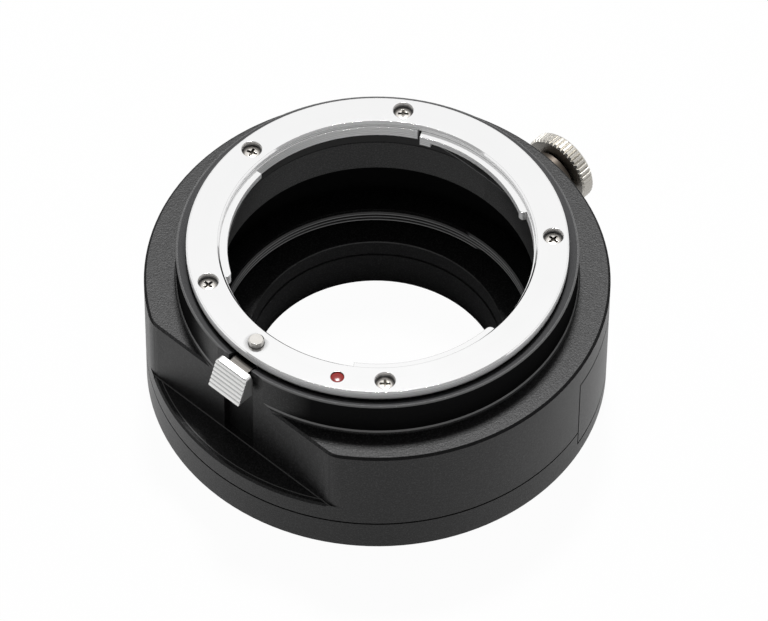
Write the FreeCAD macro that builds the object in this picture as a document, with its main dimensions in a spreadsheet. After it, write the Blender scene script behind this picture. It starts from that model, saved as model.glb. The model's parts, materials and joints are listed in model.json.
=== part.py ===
"""Filter drawer that joins a bayonet lens to a threaded camera.

All lengths are in millimetres. The origin lies on the optical axis at the camera seat, the underside of the
base plate. Z points to the lens and X is the way that the drawer pulls out.
"""
import FreeCAD
import Part
import Sketcher
import math
import os

os.makedirs("parts", exist_ok=True)
doc = FreeCAD.newDocument("filter_drawer")
sheet = doc.addObject("Spreadsheet::Sheet", "sizes")
V = FreeCAD.Vector


class Size:
    """A number together with the sheet expression that it comes from."""

    def __init__(self, value, text):
        self.value = value
        self.text = text

    def __add__(self, other):
        other = wrap(other)
        return Size(self.value + other.value, f"({self.text} + {other.text})")

    def __sub__(self, other):
        other = wrap(other)
        return Size(self.value - other.value, f"({self.text} - {other.text})")

    def __mul__(self, other):
        other = wrap(other)
        return Size(self.value * other.value, f"({self.text} * {other.text})")

    def __neg__(self):
        return Size(-self.value, f"(0 - {self.text})")


def wrap(item):
    """Gives a plain number the form of a Size."""
    if isinstance(item, Size):
        return item
    return Size(float(item), repr(float(item)))


def size(alias, value):
    """Writes one number into the sheet and returns it under its alias."""
    row = size.rows = size.rows + 1
    sheet.set(f"A{row}", alias)
    sheet.set(f"B{row}", str(value))
    sheet.setAlias(f"B{row}", alias)
    return Size(float(value), f"sizes.{alias}")


size.rows = 0


def polar(radius, angle):
    """Point at an angle in degrees on a circle round the optical axis."""
    turn_angle = math.radians(angle.value)
    x = Size(radius.value * math.cos(turn_angle), f"({radius.text} * cos({angle.text}))")
    y = Size(radius.value * math.sin(turn_angle), f"({radius.text} * sin({angle.text}))")
    return x, y


# Clearances, and the length by which a cut runs past a face
drawer_gap = size("drawer_gap", 0.2)
seam_angle = size("seam_angle", 0.4)
running_gap = size("running_gap", 0.05)
thread_gap = size("thread_gap", 0.03)
seat_gap = size("seat_gap", 0.1)
press_gap = size("press_gap", 0.02)
turn_gap = size("turn_gap", 0.3)
overcut = size("overcut", 1.0)

# Main body
body_radius = size("body_radius", 40.0)
body_edge = size("body_edge", 0.4)
parting_height = size("parting_height", 0.35)
parting_depth = size("parting_depth", 0.5)
shoulder_height = size("shoulder_height", 24.3)
neck_ledge = size("neck_ledge", 1.75)
neck_edge = size("neck_edge", 0.15)
neck_edge_height = size("neck_edge_height", 0.25)
neck_land = size("neck_land", 0.2)
dish_depth = size("dish_depth", 0.8)
seat_inset = size("seat_inset", 0.15)
neck_foot_width = size("neck_foot_width", 0.35)
neck_foot_height = size("neck_foot_height", 0.15)
neck_foot_rise = size("neck_foot_rise", 0.55)
bore_radius = size("bore_radius", 27.3)
bore_edge = size("bore_edge", 1.0)
joint_edge = size("joint_edge", 0.12)
flat_bite = size("flat_bite", 0.4)
flat_floor = size("flat_floor", 10.4)
flat_blend = size("flat_blend", 5.0)
flat_rim = size("flat_rim", 0.35)
flat_rim_angle = size("flat_rim_angle", 61.0)

# Bayonet ring
flange_height = size("flange_height", 33.0)
ring_radius = size("ring_radius", 32.65)
ring_thickness = size("ring_thickness", 1.66)
ring_edge = size("ring_edge", 0.2)
throat_radius = size("throat_radius", 27.0)
throat_edge = size("throat_edge", 0.3)
throat_step = size("throat_step", 0.3)
hub_radius = size("hub_radius", 28.1)
hub_depth = size("hub_depth", 3.1)
lug_radius = size("lug_radius", 25.6)
lug_drop = size("lug_drop", 1.05)
lug_thickness = size("lug_thickness", 1.15)
lug_root = size("lug_root", 0.3)
lug_end_angle = size("lug_end_angle", 4.5)
lug_stop_radius = size("lug_stop_radius", 0.85)
lug_starts = [size("lug_start_1", 94.0), size("lug_start_2", -28.4), size("lug_start_3", -146.0)]
lug_ends = [size("lug_end_1", 146.0), size("lug_end_2", 26.4), size("lug_end_3", -91.2)]
lug_relief_angle = size("lug_relief_angle", 1.4)
dot_radius = size("dot_radius", 1.15)
dot_angle = size("dot_angle", 209.85)
dot_pocket = size("dot_pocket", 0.6)
dot_thickness = size("dot_thickness", 0.45)

# Ring screws
ring_screw_circle = size("ring_screw_circle", 30.0)
ring_screw_angles = [
    size("ring_screw_angle_1", 34.35),
    size("ring_screw_angle_2", 89.15),
    size("ring_screw_angle_3", 149.75),
    size("ring_screw_angle_4", 225.25),
    size("ring_screw_angle_5", 315.85),
]
ring_screw_radius = size("ring_screw_radius", 0.9)
ring_screw_head = size("ring_screw_head", 1.6)
ring_screw_head_height = size("ring_screw_head_height", 0.5)
ring_screw_sink = size("ring_screw_sink", 0.8)
ring_screw_sink_gap = size("ring_screw_sink_gap", 0.18)
ring_screw_reach = size("ring_screw_reach", 4.0)
cross_width = size("cross_width", 0.4)
cross_length = size("cross_length", 1.7)
cross_depth = size("cross_depth", 0.3)

# Backing ring and leaf springs below the bayonet ring
backing_depth = size("backing_depth", 5.7)
leaf_inner = size("leaf_inner", 25.8)
leaf_outer = size("leaf_outer", 26.55)
leaf_half = size("leaf_half", 8.6)
leaf_bow = size("leaf_bow", 1.7)
leaf_thickness = size("leaf_thickness", 0.2)
leaf_pad = size("leaf_pad", 4.0)

# Base plate
base_height = size("base_height", 6.55)
base_edge = size("base_edge", 0.12)
nose_length = size("nose_length", 4.1)
nose_radius = size("nose_radius", 24.0)
nose_wall = size("nose_wall", 2.2)
nose_edge = size("nose_edge", 0.4)
nose_lip = size("nose_lip", 0.1)
relief_depth = size("relief_depth", 0.5)
relief_height = size("relief_height", 0.8)
seat_relief_height = size("seat_relief_height", 0.4)
seat_relief_width = size("seat_relief_width", 0.6)
base_screw_angles = [
    size("base_screw_angle_1", 95.0),
    size("base_screw_angle_2", 122.0),
    size("base_screw_angle_3", 149.0),
    size("base_screw_angle_4", 211.0),
    size("base_screw_angle_5", 238.0),
    size("base_screw_angle_6", 265.0),
]
base_screw_radius = size("base_screw_radius", 1.25)
base_screw_head = size("base_screw_head", 2.2)
base_screw_head_height = size("base_screw_head_height", 1.6)
base_screw_sink = size("base_screw_sink", 0.3)
base_screw_reach = size("base_screw_reach", 5.0)
socket_radius = size("socket_radius", 0.8)
socket_depth = size("socket_depth", 0.9)

# Filter drawer
drawer_floor = size("drawer_floor", 3.25)
tray_thickness = size("tray_thickness", 5.95)
tray_radius = size("tray_radius", 31.0)
face_height = size("face_height", 16.05)
face_thickness = size("face_thickness", 3.8)
face_half_angle = size("face_half_angle", 77.15)
face_edge = size("face_edge", 0.2)
face_bond = size("face_bond", 1.8)
well_radius = size("well_radius", 27.3)
well_depth = size("well_depth", 3.0)
aperture_radius = size("aperture_radius", 22.05)
aperture_taper = size("aperture_taper", 0.15)
aperture_edge = size("aperture_edge", 0.15)

# Thumbscrew, its collar and its clip
lock_height = size("lock_height", 11.7)
lock_radius = size("lock_radius", 1.5)
lock_wall = size("lock_wall", 1.2)
lock_tip_gap = size("lock_tip_gap", 0.4)
lock_tip_edge = size("lock_tip_edge", 0.4)
head_radius = size("head_radius", 6.7)
head_thickness = size("head_thickness", 2.7)
head_edge = size("head_edge", 0.35)
knurl_count = size("knurl_count", 46)
knurl_depth = size("knurl_depth", 0.35)
knurl_half = size("knurl_half", 0.26)
collar_radius = size("collar_radius", 4.6)
collar_length = size("collar_length", 6.4)
collar_edge = size("collar_edge", 0.3)
spot_depth = size("spot_depth", 0.5)
clip_radius = size("clip_radius", 2.9)
clip_thickness = size("clip_thickness", 0.4)
clip_inset = size("clip_inset", 0.6)
clip_angle = size("clip_angle", 290.0)
clip_groove = size("clip_groove", 0.4)
clip_recess = size("clip_recess", 1.4)

# Release: lock pin, arm, ribbed tab and spring
pin_circle = size("pin_circle", 30.0)
pin_radius = size("pin_radius", 1.35)
pin_rise = size("pin_rise", 1.0)
pin_edge = size("pin_edge", 0.2)
pin_stem = size("pin_stem", 0.78)
pin_stem_length = size("pin_stem_length", 5.0)
arm_drop = size("arm_drop", 0.8)
arm_thickness = size("arm_thickness", 0.7)
arm_width = size("arm_width", 4.1)
release_travel = size("release_travel", 2.4)
notch_width = size("notch_width", 5.2)
tab_width = size("tab_width", 7.0)
leg_gap = size("leg_gap", 0.15)
tab_top_rise = size("tab_top_rise", 0.85)
tab_top_depth = size("tab_top_depth", 1.3)
tab_height = size("tab_height", 5.6)
tab_depth = size("tab_depth", 3.4)
tab_corner = size("tab_corner", 0.6)
rib_count = 7
rib_depth = size("rib_depth", 0.45)
rivet_radius = size("rivet_radius", 0.7)
rivet_head = size("rivet_head", 1.2)
rivet_head_thickness = size("rivet_head_thickness", 0.4)
rivet_drop = size("rivet_drop", 3.2)
rivet_reach = size("rivet_reach", 1.0)
groove_width = size("groove_width", 6.8)
groove_depth = size("groove_depth", 1.2)
groove_shift = size("groove_shift", 0.5)
washer_radius = size("washer_radius", 1.4)
washer_thickness = size("washer_thickness", 0.4)
spring_radius = size("spring_radius", 1.15)
spring_wire = size("spring_wire", 0.19)
spring_pitch = size("spring_pitch", 1.45)
spring_hole = size("spring_hole", 1.6)
spring_hole_depth = size("spring_hole_depth", 5.0)

# Heights and radii that follow from the sizes above
neck_top = flange_height - ring_thickness
neck_radius = ring_radius + neck_ledge
flat_distance = neck_radius - flat_bite
hub_bottom = flange_height - hub_depth
backing_floor = flange_height - backing_depth
recess_radius = hub_radius + seat_gap
lug_top = flange_height - lug_drop
lug_bottom = lug_top - lug_thickness
lug_root_radius = throat_radius + lug_root
hub_bore = throat_radius - throat_step
lug_centres = [(start + end) * 0.5 for start, end in zip(lug_starts, lug_ends)]
face_top = drawer_floor + face_height
face_inner = body_radius - face_thickness
ceiling = face_top + drawer_gap
tray_top = drawer_floor + tray_thickness
slot_top = tray_top + drawer_gap
slot_floor = drawer_floor - drawer_gap
skirt_radius = face_inner - drawer_gap
cavity_radius = tray_radius + drawer_gap
slot_angle = (face_half_angle + seam_angle) * 2
base_screw_circle = (cavity_radius + body_radius) * 0.5
well_floor = tray_top - well_depth
spot = body_radius - spot_depth
head_start = spot + collar_length + turn_gap
lock_floor = cavity_radius + lock_wall
lock_tip = lock_floor + lock_tip_gap
clip_start = face_inner + clip_inset
arm_top = neck_top - arm_drop
arm_bottom = arm_top - arm_thickness
notch_floor = arm_bottom - release_travel - drawer_gap
notch_end = pin_circle - pin_radius - drawer_gap
arm_end = notch_end + turn_gap
leg_inner = flat_distance + leg_gap
tab_back = leg_inner + arm_thickness
spring_floor = notch_floor - spring_hole_depth
washer_bottom = arm_bottom - washer_thickness
head_seat = flange_height - ring_screw_sink - ring_screw_head_height
nose_bore = nose_radius - nose_wall
doc.recompute()

NODES = {}


def new_body(name):
    """Starts the body of one named piece."""
    body = doc.addObject("PartDesign::Body", name)
    NODES[name] = body
    return body


def datum(body, role):
    """One plane or axis of a body's own origin."""
    return [item for item in body.Origin.OriginFeatures if item.Role == role][0]


def new_sketch(body, role, lift=None, turned=None):
    """Sketch on an origin plane, lifted off it or turned about the optical axis."""
    sketch = body.newObject("Sketcher::SketchObject", "outline")
    sketch.AttachmentSupport = (datum(body, role), [""])
    sketch.MapMode = "FlatFace"
    if lift is not None:
        sketch.setExpression("AttachmentOffset.Base.z", wrap(lift).text)
    if turned is not None:
        sketch.AttachmentOffset = FreeCAD.Placement(V(0, 0, 0), FreeCAD.Rotation(V(0, 1, 0), turned.value))
        sketch.setExpression("AttachmentOffset.Rotation.Angle", turned.text)
    return sketch


def locate(sketch, geometry, point, x, y):
    """Holds a point of a sketch at sizes taken from the sheet."""
    for kind, item, axis in (("DistanceX", wrap(x), -2), ("DistanceY", wrap(y), -1)):
        if item.value == 0:
            sketch.addConstraint(Sketcher.Constraint("PointOnObject", geometry, point, axis))
            continue
        index = sketch.addConstraint(Sketcher.Constraint(kind, -1, 1, geometry, point, item.value))
        sketch.setExpression(f"Constraints[{index}]", item.text)


def polygon(sketch, corners):
    """Closed outline of straight lines."""
    points = [V(wrap(x).value, wrap(y).value, 0) for x, y in corners]
    count = len(points)
    start = sketch.GeometryCount
    for k in range(count):
        sketch.addGeometry(Part.LineSegment(points[k], points[(k + 1) % count]), False)
    for k in range(count):
        sketch.addConstraint(Sketcher.Constraint("Coincident", start + k, 2, start + (k + 1) % count, 1))
    for k, (x, y) in enumerate(corners):
        locate(sketch, start + k, 1, x, y)
    return sketch


def circles(sketch, spots):
    """Circles, each given by the position of its centre and its radius."""
    for x, y, radius in spots:
        centre = V(wrap(x).value, wrap(y).value, 0)
        item = sketch.addGeometry(Part.Circle(centre, V(0, 0, 1), radius.value), False)
        locate(sketch, item, 3, x, y)
        index = sketch.addConstraint(Sketcher.Constraint("Radius", item, radius.value))
        sketch.setExpression(f"Constraints[{index}]", radius.text)
    return sketch


def rectangle(x_low, x_high, y_low, y_high):
    """Corners of an upright rectangle."""
    return [(x_low, y_low), (x_high, y_low), (x_high, y_high), (x_low, y_high)]


def turn(body, corners, angle=None, centre=None, cut=False):
    """Turns a profile of radius and height about the Z axis, fully or over an angle about a centre."""
    sketch = polygon(new_sketch(body, "XZ_Plane", turned=centre), corners)
    feature = body.newObject("PartDesign::Groove" if cut else "PartDesign::Revolution", "turned")
    feature.Profile = sketch
    feature.ReferenceAxis = (datum(body, "Z_Axis"), [""])
    if angle is not None:
        feature.Midplane = True
        feature.setExpression("Angle", angle.text)
    return feature


def extrude(body, sketch, length, cut=False, upward=False, both_ways=False):
    """Pads or cuts a sketch along its own normal, a cut going down unless it is turned upward."""
    feature = body.newObject("PartDesign::Pocket" if cut else "PartDesign::Pad", "extruded")
    feature.Profile = sketch
    feature.setExpression("Length", wrap(length).text)
    feature.Reversed = upward if cut else False
    if both_ways:
        feature.SideType = "Symmetric"
    return feature


def drill(body, spots, top, depth):
    """Round holes cut downward from a height."""
    return extrude(body, circles(new_sketch(body, "XY_Plane", top), spots), depth, cut=True)


def drill_along_x(body, radius, start, end):
    """Round hole along X at the height of the thumbscrew."""
    feature = body.newObject("PartDesign::SubtractiveCylinder", "cross_hole")
    feature.Placement = FreeCAD.Placement(V(start.value, 0, lock_height.value), FreeCAD.Rotation(V(0, 1, 0), 90))
    feature.setExpression("Placement.Base.x", start.text)
    feature.setExpression("Placement.Base.z", lock_height.text)
    feature.setExpression("Radius", radius.text)
    feature.setExpression("Height", (end - start).text)
    return feature


def drawer_opening(body, top):
    """Cuts the way of the drawer's curved face out of a round wall."""
    corners = rectangle(skirt_radius, body_radius + overcut, slot_floor, top)
    return turn(body, corners, slot_angle, cut=True)


def group(name, source, places):
    """Node of equal pieces set at the given places."""
    copies = []
    for x, y, angle in places:
        shape = source.Shape.copy()
        shape.Placement = FreeCAD.Placement(V(x.value, y.value, 0), FreeCAD.Rotation(V(0, 0, 1), angle.value))
        copies.append(shape)
    node = doc.addObject("Part::Feature", name)
    node.Shape = Part.makeCompound(copies)
    NODES[name] = node


# Main body: one turned piece with the drawer's opening, the flat and the way of the release cut into it
main_body = new_body("main_body")
turn(main_body, [
    (cavity_radius, base_height),
    (body_radius, base_height),
    (body_radius, shoulder_height),
    (neck_radius + neck_foot_width, shoulder_height),
    (neck_radius + neck_foot_width, shoulder_height + neck_foot_height),
    (neck_radius, shoulder_height + neck_foot_height + neck_foot_rise),
    (neck_radius, neck_top - neck_edge_height),
    (neck_radius - neck_edge, neck_top),
    (neck_radius - neck_edge - neck_land, neck_top),
    (ring_radius - seat_inset, neck_top - dish_depth),
    (ring_radius - seat_inset, neck_top),
    (recess_radius, neck_top),
    (recess_radius, backing_floor),
    (bore_radius + joint_edge, backing_floor),
    (bore_radius, backing_floor - joint_edge),
    (bore_radius, ceiling + bore_edge),
    (bore_radius + bore_edge, ceiling),
    (cavity_radius, ceiling),
])
drawer_opening(main_body, ceiling)
tray_way = polygon(new_sketch(main_body, "XY_Plane", slot_top),
                   rectangle(0, body_radius + overcut, -cavity_radius, cavity_radius))
extrude(main_body, tray_way, slot_top - base_height + overcut, cut=True)
flat = polygon(new_sketch(main_body, "XY_Plane", flange_height),
               rectangle(-body_radius - overcut, -flat_distance, -body_radius - overcut, body_radius + overcut))
flat_cut = extrude(main_body, flat, flange_height - flat_floor, cut=True)
doc.recompute()


def edges_where(feature, test):
    """Names of the edges of a feature whose middle and ends satisfy a test."""
    names = []
    for k, edge in enumerate(feature.Shape.Edges):
        ends = [vertex.Point for vertex in edge.Vertexes]
        if test(edge, ends):
            names.append(f"Edge{k + 1}")
    return names


def on_flat_corner(edge, ends):
    """True for the upright edges where the flat meets the round wall."""
    if len(ends) != 2 or abs(ends[0].x - ends[1].x) > 1e-4 or abs(ends[0].y - ends[1].y) > 1e-4:
        return False
    outer = abs(math.hypot(ends[0].x, ends[0].y) - body_radius.value) < 1e-3
    return outer and abs(ends[0].x + flat_distance.value) < 1e-3


def on_shoulder_rim(edge, ends):
    """True for the outer edge of the shoulder."""
    level = all(abs(end.z - shoulder_height.value) < 1e-4 for end in ends)
    outer = all(abs(math.hypot(end.x, end.y) - body_radius.value) < 0.5 for end in ends)
    return level and outer and edge.Length > body_radius.value


blend = main_body.newObject("PartDesign::Fillet", "flat_corners")
blend.Base = (flat_cut, edges_where(flat_cut, on_flat_corner))
blend.setExpression("Radius", flat_blend.text)
doc.recompute()
rim = main_body.newObject("PartDesign::Chamfer", "shoulder_rim")
rim.Base = (blend, edges_where(blend, on_shoulder_rim))
rim.setExpression("Size", body_edge.text)
turn(main_body, [
    (body_radius - flat_rim, flat_floor),
    (body_radius + overcut, flat_floor),
    (body_radius + overcut, flat_floor - flat_rim),
    (body_radius, flat_floor - flat_rim),
], flat_rim_angle, Size(180.0, "180"), cut=True)
groove = polygon(new_sketch(main_body, "XY_Plane", hub_bottom),
                 rectangle(-flat_distance - overcut, -flat_distance + groove_depth,
                           groove_shift - groove_width * 0.5, groove_shift + groove_width * 0.5))
extrude(main_body, groove, hub_bottom - flat_floor, cut=True)
notch = polygon(new_sketch(main_body, "XY_Plane", flange_height),
                rectangle(-neck_radius - overcut, -notch_end, -notch_width * 0.5, notch_width * 0.5))
extrude(main_body, notch, flange_height - notch_floor, cut=True)
drill(main_body, [(-pin_circle, 0, spring_hole)], notch_floor, spring_hole_depth)
drill(main_body, [polar(ring_screw_circle, angle) + (ring_screw_radius + thread_gap,)
                  for angle in ring_screw_angles], neck_top, ring_screw_reach + overcut)
base_taps = circles(new_sketch(main_body, "XY_Plane", base_height),
                    [polar(base_screw_circle, angle) + (base_screw_radius + thread_gap,)
                     for angle in base_screw_angles])
extrude(main_body, base_taps, base_screw_reach + overcut, cut=True, upward=True)
drill_along_x(main_body, lock_radius + running_gap, lock_floor, body_radius)

# Base plate: camera seat, threaded nose and the pocket that the drawer runs in
base_plate = new_body("base_plate")
turn(base_plate, [
    (nose_bore + nose_lip, -nose_length),
    (nose_radius - nose_edge, -nose_length),
    (nose_radius, nose_edge - nose_length),
    (nose_radius, -relief_height),
    (nose_radius - relief_depth, -relief_height),
    (nose_radius - relief_depth, seat_relief_height),
    (nose_radius + seat_relief_width, seat_relief_height),
    (nose_radius + seat_relief_width, 0),
    (body_radius - base_edge, 0),
    (body_radius, base_edge),
    (body_radius, base_height - parting_height),
    (body_radius - parting_depth, base_height - parting_height),
    (body_radius - parting_depth, base_height),
    (nose_bore, base_height),
    (nose_bore, nose_lip - nose_length),
])
drawer_opening(base_plate, base_height + overcut)
pocket_depth = base_height - slot_floor
drill(base_plate, [(0, 0, cavity_radius)], base_height, pocket_depth)
channel = polygon(new_sketch(base_plate, "XY_Plane", base_height),
                  rectangle(0, body_radius + overcut, -cavity_radius, cavity_radius))
extrude(base_plate, channel, pocket_depth, cut=True)
head_pocket = base_screw_sink + base_screw_head_height
drill(base_plate, [polar(base_screw_circle, angle) + (base_screw_radius + seat_gap,)
                   for angle in base_screw_angles], base_height, base_height)
drill(base_plate, [polar(base_screw_circle, angle) + (base_screw_head + seat_gap,)
                   for angle in base_screw_angles], head_pocket, head_pocket)

# Screws that hold the base plate to the body, driven from below
base_screw = doc.addObject("PartDesign::Body", "base_screw")
turn(base_screw, [
    (0, base_screw_sink),
    (base_screw_head, base_screw_sink),
    (base_screw_head, head_pocket),
    (base_screw_radius, head_pocket),
    (base_screw_radius, base_height + base_screw_reach),
    (0, base_height + base_screw_reach),
])
socket = circles(new_sketch(base_screw, "XY_Plane", base_screw_sink), [(0, 0, socket_radius)])
extrude(base_screw, socket, socket_depth, cut=True, upward=True)

# Backing ring below the bayonet ring
backing_ring = new_body("backing_ring")
turn(backing_ring, [
    (bore_radius + joint_edge, backing_floor),
    (hub_radius, backing_floor),
    (hub_radius, hub_bottom),
    (bore_radius, hub_bottom),
    (bore_radius, backing_floor + joint_edge),
])

# Bayonet ring: flange, hub and lugs. The second lug has a deep end beside a relief slot, and each lug
# has one stop
bayonet_ring = new_body("bayonet_ring")
turn(bayonet_ring, [
    (throat_radius, flange_height - throat_edge),
    (throat_radius + throat_edge, flange_height),
    (ring_radius - ring_edge, flange_height),
    (ring_radius, flange_height - ring_edge),
    (ring_radius, neck_top),
    (hub_radius, neck_top),
    (hub_radius, hub_bottom),
    (hub_bore, hub_bottom),
    (hub_bore, lug_top),
    (throat_radius, lug_top),
])
for start, end, centre in zip(lug_starts, lug_ends, lug_centres):
    turn(bayonet_ring, rectangle(lug_radius, lug_root_radius, lug_bottom, lug_top), end - start, centre)
turn(bayonet_ring, rectangle(lug_radius, lug_root_radius, hub_bottom, lug_top), lug_end_angle,
     lug_ends[1] - lug_end_angle * 0.5)
stops = [polar(lug_radius + lug_stop_radius, place) + (lug_stop_radius,)
         for place in (lug_ends[0], lug_starts[1], lug_ends[2])]
extrude(bayonet_ring, circles(new_sketch(bayonet_ring, "XY_Plane", hub_bottom), stops), lug_top - hub_bottom)
turn(bayonet_ring, rectangle(lug_radius, recess_radius, hub_bottom, lug_top), lug_relief_angle,
     lug_ends[1] + lug_relief_angle * 0.5, cut=True)
drill(bayonet_ring, [polar(ring_screw_circle, angle) + (ring_screw_radius + seat_gap,)
                     for angle in ring_screw_angles], flange_height, ring_thickness + overcut)
drill(bayonet_ring, [polar(ring_screw_circle, angle) + (ring_screw_head + ring_screw_sink_gap,)
                     for angle in ring_screw_angles], flange_height, ring_screw_sink + ring_screw_head_height)
drill(bayonet_ring, [(-pin_circle, 0, pin_radius + running_gap)], flange_height, ring_thickness + overcut)
drill(bayonet_ring, [polar(ring_screw_circle, dot_angle) + (dot_radius + press_gap,)], flange_height, dot_pocket)

# Cross-head screws of the bayonet ring
ring_screw = doc.addObject("PartDesign::Body", "ring_screw")
head_top = flange_height - ring_screw_sink
turn(ring_screw, [
    (0, neck_top - ring_screw_reach),
    (ring_screw_radius, neck_top - ring_screw_reach),
    (ring_screw_radius, head_seat),
    (ring_screw_head, head_seat),
    (ring_screw_head, head_top - cross_depth),
    (ring_screw_head - cross_depth, head_top),
    (0, head_top),
])
cross_half = cross_length * 0.5
slot_half = cross_width * 0.5
cross = polygon(new_sketch(ring_screw, "XY_Plane", head_top), [
    (cross_half, -slot_half),
    (cross_half, slot_half),
    (slot_half, slot_half),
    (slot_half, cross_half),
    (-slot_half, cross_half),
    (-slot_half, slot_half),
    (-cross_half, slot_half),
    (-cross_half, -slot_half),
    (-slot_half, -slot_half),
    (-slot_half, -cross_half),
    (slot_half, -cross_half),
    (slot_half, -slot_half),
])
extrude(ring_screw, cross, cross_depth, cut=True)

# Red index dot set into the ring
index_dot = new_body("index_dot")
dot_spot = circles(new_sketch(index_dot, "XY_Plane", flange_height - dot_pocket),
                   [polar(ring_screw_circle, dot_angle) + (dot_radius,)])
extrude(index_dot, dot_spot, dot_thickness)

# Leaf springs: bowed strips below the lugs
LEAF_STEPS = 6
for number, lug_centre in enumerate(lug_centres, 1):
    leaf = new_body(f"leaf_spring_{number}")
    upper = []
    for k in range(-LEAF_STEPS, LEAF_STEPS + 1):
        part = k / LEAF_STEPS
        upper.append((leaf_half * part, lug_bottom - leaf_bow * (1 - part * part)))
    lower = [(y, z - leaf_thickness) for y, z in reversed(upper)]
    strip = polygon(new_sketch(leaf, "YZ_Plane", leaf_inner - leaf_pad), upper + lower)
    extrude(leaf, strip, leaf_outer - leaf_inner + leaf_pad * 2)
    turn(leaf, rectangle(leaf_outer, leaf_outer + leaf_pad * 2, backing_floor, flange_height), cut=True)
    drill(leaf, [(0, 0, leaf_inner)], flange_height, backing_depth)
    leaf.Placement = FreeCAD.Placement(V(0, 0, 0), FreeCAD.Rotation(V(0, 0, 1), lug_centre.value))
    leaf.setExpression("Placement.Rotation.Angle", lug_centre.text)

# Filter drawer: curved face and tray in one piece, with a threaded well above the clear aperture
filter_drawer = new_body("filter_drawer")
turn(filter_drawer, [
    (face_inner, drawer_floor),
    (body_radius - face_edge, drawer_floor),
    (body_radius, drawer_floor + face_edge),
    (body_radius, face_top - face_edge),
    (body_radius - face_edge, face_top),
    (face_inner, face_top),
], face_half_angle * 2)
tray = new_sketch(filter_drawer, "XY_Plane", drawer_floor)
tray_front = face_inner + face_bond
front_x = math.sqrt(tray_front.value ** 2 - tray_radius.value ** 2)
front_angle = math.atan2(tray_radius.value, front_x)
back_arc = tray.addGeometry(Part.ArcOfCircle(Part.Circle(V(0, 0, 0), V(0, 0, 1), tray_radius.value),
                                             math.pi / 2, 3 * math.pi / 2), False)
front_arc = tray.addGeometry(Part.ArcOfCircle(Part.Circle(V(0, 0, 0), V(0, 0, 1), tray_front.value),
                                              -front_angle, front_angle), False)
half_width = tray_radius.value
side_low = tray.addGeometry(Part.LineSegment(V(0, -half_width, 0), V(front_x, -half_width, 0)), False)
side_high = tray.addGeometry(Part.LineSegment(V(0, half_width, 0), V(front_x, half_width, 0)), False)
for arc, radius in ((back_arc, tray_radius), (front_arc, tray_front)):
    tray.addConstraint(Sketcher.Constraint("Coincident", arc, 3, -1, 1))
    index = tray.addConstraint(Sketcher.Constraint("Radius", arc, radius.value))
    tray.setExpression(f"Constraints[{index}]", radius.text)
for side, back_end, front_end in ((side_low, 2, 1), (side_high, 1, 2)):
    tray.addConstraint(Sketcher.Constraint("Coincident", side, 1, back_arc, back_end))
    tray.addConstraint(Sketcher.Constraint("Coincident", side, 2, front_arc, front_end))
    tray.addConstraint(Sketcher.Constraint("Horizontal", side))
    tray.addConstraint(Sketcher.Constraint("PointOnObject", side, 1, -2))
extrude(filter_drawer, tray, tray_thickness)
drill(filter_drawer, [(0, 0, well_radius)], tray_top, well_depth)
turn(filter_drawer, [
    (0, drawer_floor - overcut),
    (aperture_radius, drawer_floor - overcut),
    (aperture_radius, drawer_floor),
    (aperture_radius + aperture_taper, well_floor - aperture_edge),
    (aperture_radius + aperture_taper + aperture_edge, well_floor),
    (0, well_floor),
], cut=True)
drill_along_x(filter_drawer, lock_radius + drawer_gap, skirt_radius, body_radius + overcut)
drill_along_x(filter_drawer, clip_radius + turn_gap, skirt_radius - overcut, face_inner + clip_recess)
drill_along_x(filter_drawer, collar_radius + seat_gap, spot, body_radius + overcut)


def lay_along_x(body):
    """Lays a piece turned about Z onto the axis of the thumbscrew."""
    body.Placement = FreeCAD.Placement(V(0, 0, lock_height.value), FreeCAD.Rotation(V(0, 1, 0), 90))
    body.setExpression("Placement.Base.z", lock_height.text)


# Thumbscrew: knurled head on a plain shank with a threaded end
thumbscrew = new_body("thumbscrew")
head_end = head_start + head_thickness
groove_radius = lock_radius - clip_groove
clip_end = clip_start + clip_thickness
turn(thumbscrew, [
    (0, lock_tip),
    (lock_radius - lock_tip_edge, lock_tip),
    (lock_radius, lock_tip + lock_tip_edge),
    (lock_radius, clip_start - press_gap),
    (groove_radius, clip_start - press_gap),
    (groove_radius, clip_end + press_gap),
    (lock_radius, clip_end + press_gap),
    (lock_radius, head_start),
    (head_radius - head_edge, head_start),
    (head_radius, head_start + head_edge),
    (head_radius, head_end - head_edge),
    (head_radius - head_edge, head_end),
    (0, head_end),
])
knurl = polygon(new_sketch(thumbscrew, "XY_Plane", head_end), [
    (head_radius - knurl_depth, 0),
    (head_radius + knurl_depth, -knurl_half * 2),
    (head_radius + knurl_depth, knurl_half * 2),
])
knurl_cut = extrude(thumbscrew, knurl, head_thickness, cut=True)
knurls = thumbscrew.newObject("PartDesign::PolarPattern", "knurls")
knurls.Originals = [knurl_cut]
knurls.Axis = (datum(thumbscrew, "Z_Axis"), [""])
knurls.Angle = 360
knurls.setExpression("Occurrences", knurl_count.text)
thumbscrew.Tip = knurls
lay_along_x(thumbscrew)

# Collar that keeps the thumbscrew's head off the drawer's face
thumbscrew_collar = new_body("thumbscrew_collar")
turn(thumbscrew_collar, [
    (lock_radius + drawer_gap, spot),
    (collar_radius, spot),
    (collar_radius, spot + collar_length - collar_edge),
    (collar_radius - collar_edge, spot + collar_length),
    (lock_radius + drawer_gap, spot + collar_length),
])
lay_along_x(thumbscrew_collar)

# Clip in the shank's groove, behind the drawer's face
thumbscrew_clip = new_body("thumbscrew_clip")
turn(thumbscrew_clip, rectangle(groove_radius + press_gap, clip_radius, clip_start, clip_end), clip_angle)
lay_along_x(thumbscrew_clip)

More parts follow.
